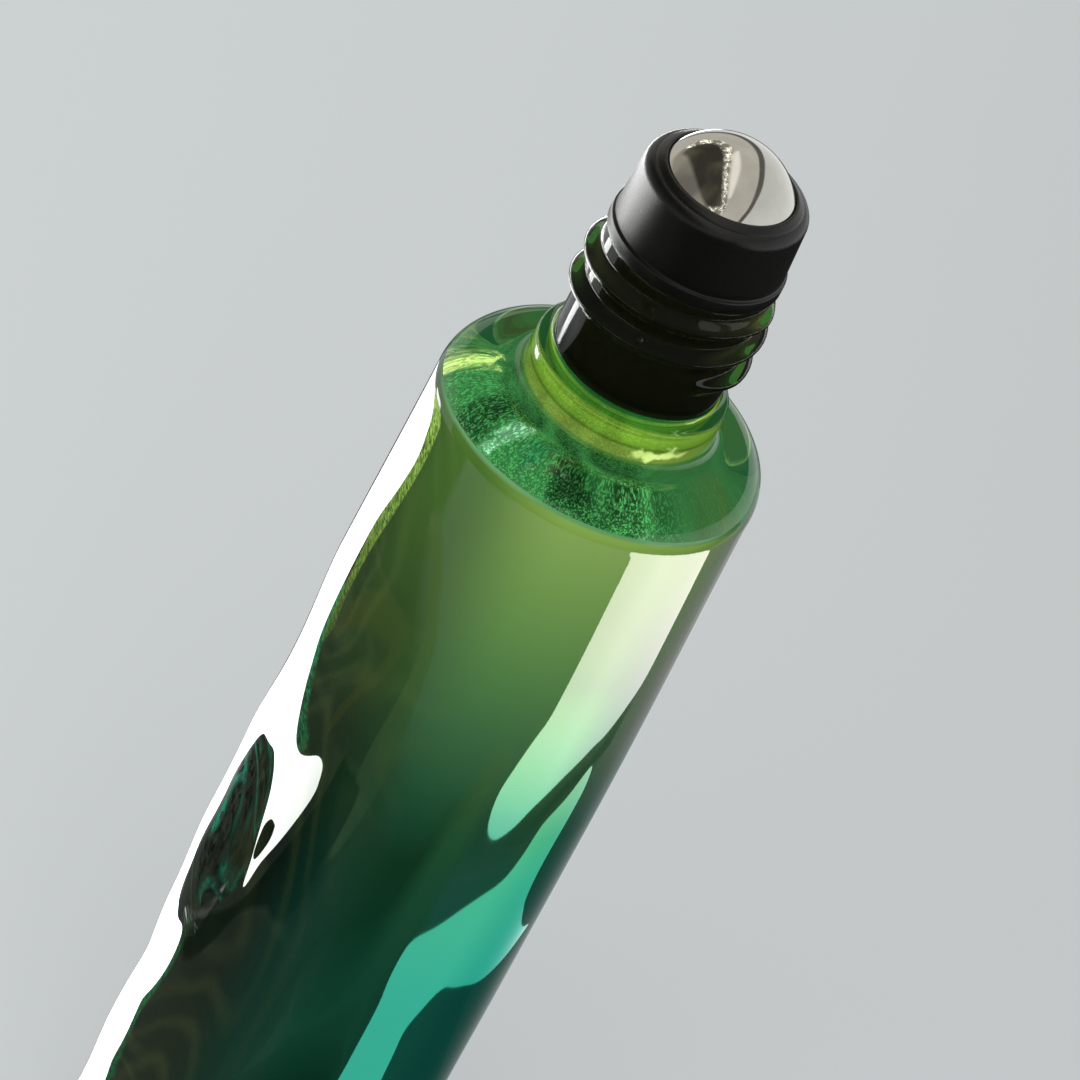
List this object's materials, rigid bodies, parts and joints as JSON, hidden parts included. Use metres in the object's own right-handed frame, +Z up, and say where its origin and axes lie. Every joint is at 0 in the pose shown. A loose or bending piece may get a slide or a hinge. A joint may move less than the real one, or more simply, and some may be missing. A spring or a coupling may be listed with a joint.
{
  "type": "roll on bottle",
  "caption": "Slim round glass roll on bottle with softly dented sides, threaded neck, black roller housing pressed into the bore and a rolling steel ball.",
  "frame": {"origin": "centre of the base, on the surface the bottle stands on", "axes": "+Z up along the bottle's axis, towards the ball; -Y is the side that faces the camera in the picture"},
  "size_m": [0.0253, 0.0253, 0.1103],
  "materials": {
    "green_glass": "glossy, clear green at the shoulder, with a lustre that runs from yellow-green to dark teal down the sides",
    "black_plastic": "satin black moulding",
    "polished_steel": "mirror polished"
  },
  "bodies": {
    "bottle": {"glass_bottle": "green_glass", "roller_housing": "black_plastic"},
    "ball": {"roller_ball": "polished_steel"}
  },
  "joints": [
    {"name": "ball_roll", "type": "hinge", "parent": "bottle", "child": "ball", "pos_m": [0, 0, 0.1047], "axis": [1, 0, 0], "continuous": true}
  ]
}
